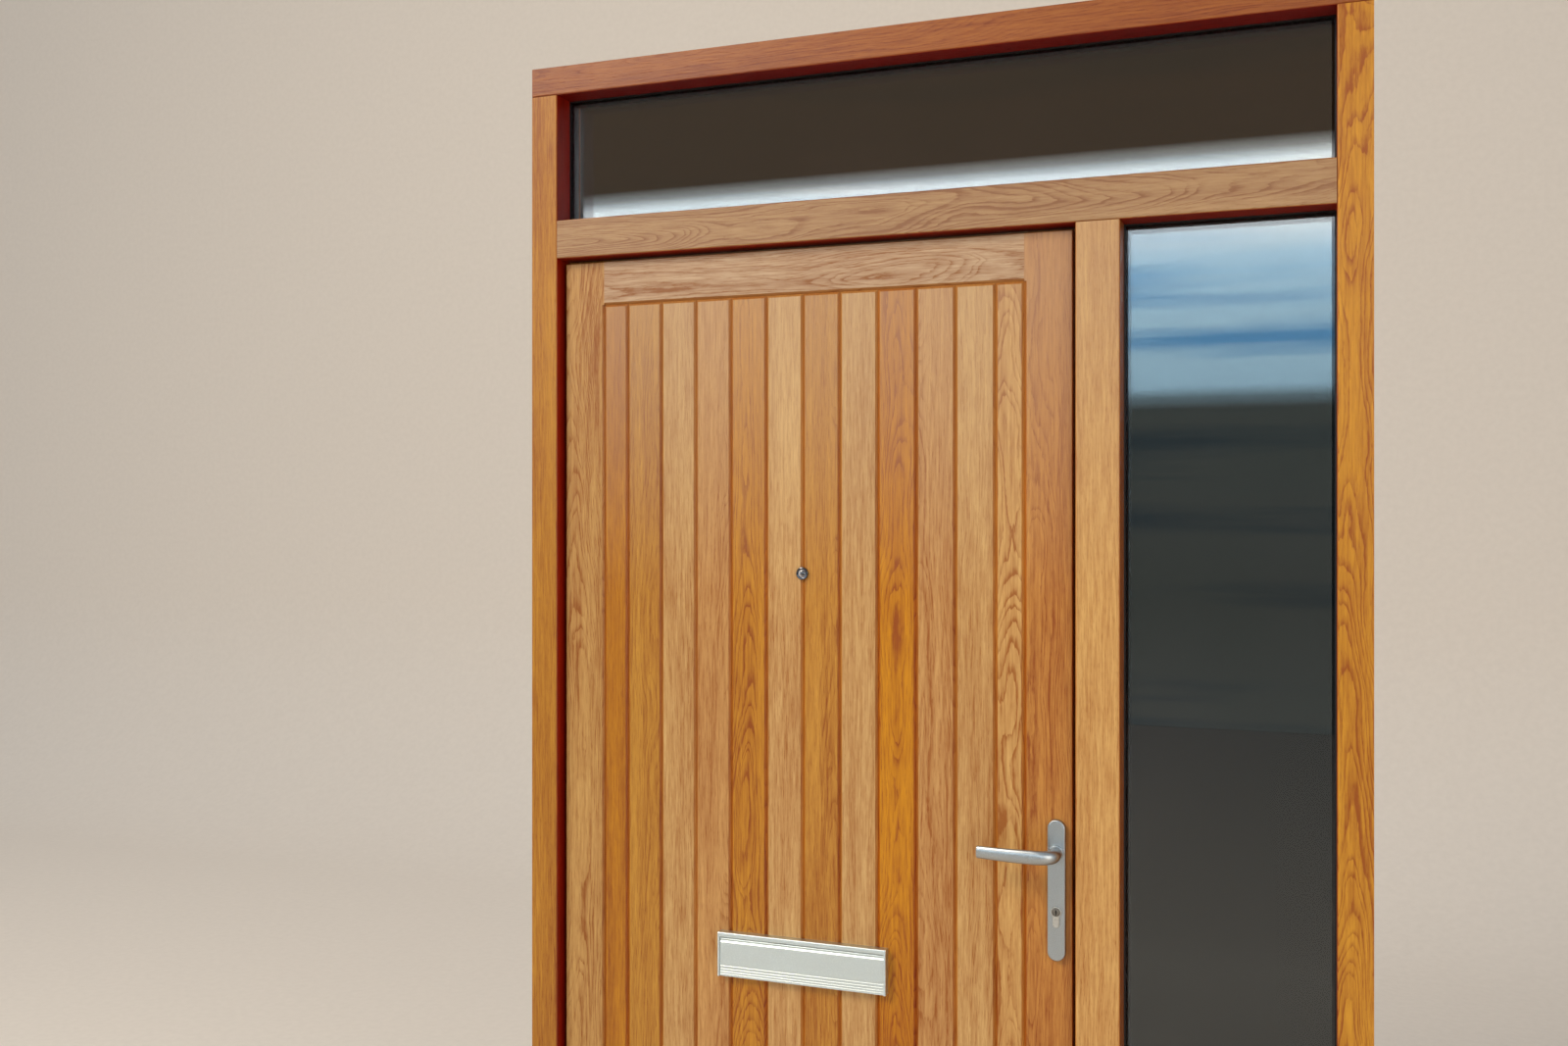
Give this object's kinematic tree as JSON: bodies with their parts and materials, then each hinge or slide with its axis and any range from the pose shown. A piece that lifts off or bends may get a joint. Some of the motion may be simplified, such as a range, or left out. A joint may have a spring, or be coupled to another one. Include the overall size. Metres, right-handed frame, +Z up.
{
  "type": "entrance door with frame",
  "caption": "Oak entrance door set: boarded leaf hung in a frame with a fanlight above and a narrow sidelight beside it.",
  "frame": {"origin": "on the sill's underside, in the plane of the frame's outer face, at mid width", "axes": "+X to the right seen from outdoors, +Y indoors, +Z up"},
  "size_m": [1.385, 0.186, 2.426],
  "materials": {
    "frame_oak": "satin",
    "leaf_oak": "satin",
    "core_fibre": "matt",
    "black_rubber": "matt",
    "spacer_metal": "satin",
    "packer_plastic": "matt",
    "clear_glass": "polished",
    "cap_metal": "satin",
    "satin_aluminium": "satin",
    "anodised_aluminium": "satin",
    "lock_steel": "brushed",
    "hinge_steel": "brushed",
    "nickel_brass": "satin",
    "chrome_brass": "polished"
  },
  "bodies": {
    "root": {"left_jamb": "frame_oak", "right_jamb": "frame_oak", "frame_head": "frame_oak", "transom": "frame_oak", "mullion": "frame_oak", "sill": "frame_oak", "threshold": "cap_metal", "door_gasket": "black_rubber", "fanlight_glass": "clear_glass", "sidelight_glass": "clear_glass", "glass_spacers": "spacer_metal", "glazing_gaskets": "black_rubber", "glazing_beads": "frame_oak", "glazing_packers": "packer_plastic", "hinge_frame_leaves": "hinge_steel", "lock_keeps": "lock_steel"},
    "door": {"board_01": "leaf_oak", "board_02": "leaf_oak", "board_03": "leaf_oak", "board_04": "leaf_oak", "board_05": "leaf_oak", "board_06": "leaf_oak", "board_07": "leaf_oak", "board_08": "leaf_oak", "board_09": "leaf_oak", "board_10": "leaf_oak", "board_11": "leaf_oak", "board_12": "leaf_oak", "bottom_rail": "leaf_oak", "door_viewer": "chrome_brass", "flap_rods": "lock_steel", "hinge_door_leaves": "hinge_steel", "hinge_stile": "leaf_oak", "inner_backplate": "satin_aluminium", "inner_boards": "leaf_oak", "inner_letterplate": "anodised_aluminium", "insulating_core": "core_fibre", "letter_sleeve": "anodised_aluminium", "letterplate": "anodised_aluminium", "lock_case": "lock_steel", "lock_cylinder": "nickel_brass", "lock_faceplate": "lock_steel", "lock_stile": "leaf_oak", "outer_backplate": "satin_aluminium", "top_rail": "leaf_oak", "weather_board": "leaf_oak"},
    "handle": {"outer_lever": "satin_aluminium", "inner_lever": "satin_aluminium", "spindle": "lock_steel", "latch_follower": "lock_steel"},
    "key": {"key_plug": "nickel_brass", "lock_cam": "lock_steel", "thumbturn": "nickel_brass"},
    "latch": {"latch_bolt": "lock_steel"},
    "deadbolt": {"deadbolt": "lock_steel"},
    "locking_rods": {"locking_rods": "lock_steel"},
    "outer_flap": {"letter_flap": "anodised_aluminium"},
    "inner_flap": {"inner_letter_flap": "anodised_aluminium"}
  },
  "joints": [
    {"name": "door_swing", "type": "hinge", "parent": "root", "child": "door", "pos_m": [-0.6535, 0.0945, 1.076], "axis": [0, 0, 1], "range_deg": [0, 100]},
    {"name": "lever_turn", "type": "hinge", "parent": "door", "child": "handle", "pos_m": [0.2345, 0.054, 1.109], "axis": [0, -1, 0], "range_deg": [0, 35], "stiffness_Nm_per_rad": 1, "springref_deg": -34.38},
    {"name": "latch_slide", "type": "slide", "parent": "door", "child": "latch", "axis": [-1, 0, 0], "range_m": [0, 0.012]},
    {"name": "key_turn", "type": "hinge", "parent": "door", "child": "key", "pos_m": [0.2345, 0.054, 1.017], "axis": [0, -1, 0], "range_deg": [0, 360]},
    {"name": "deadbolt_slide", "type": "slide", "parent": "door", "child": "deadbolt", "axis": [1, 0, 0], "range_m": [0, 0.02]},
    {"name": "rods_slide", "type": "slide", "parent": "door", "child": "locking_rods", "axis": [0, 0, 1], "range_m": [0, 0.018]},
    {"name": "letter_flap_swing", "type": "hinge", "parent": "door", "child": "outer_flap", "pos_m": [-0.1885, 0.0092, 0.91765], "axis": [-1, 0, 0], "range_deg": [0, 80], "stiffness_Nm_per_rad": 0.05, "springref_deg": -28.65},
    {"name": "inner_flap_swing", "type": "hinge", "parent": "door", "child": "inner_flap", "pos_m": [-0.1885, 0.0988, 0.91765], "axis": [1, 0, 0], "range_deg": [0, 80], "stiffness_Nm_per_rad": 0.05, "springref_deg": -28.65}
  ],
  "couplings": [
    {"joint": "latch_slide", "follows": "lever_turn", "m_per_rad": 0.01964},
    {"joint": "key_turn", "follows": "rods_slide", "rad_per_m": 349},
    {"joint": "deadbolt_slide", "follows": "rods_slide", "ratio": 1.111}
  ]
}
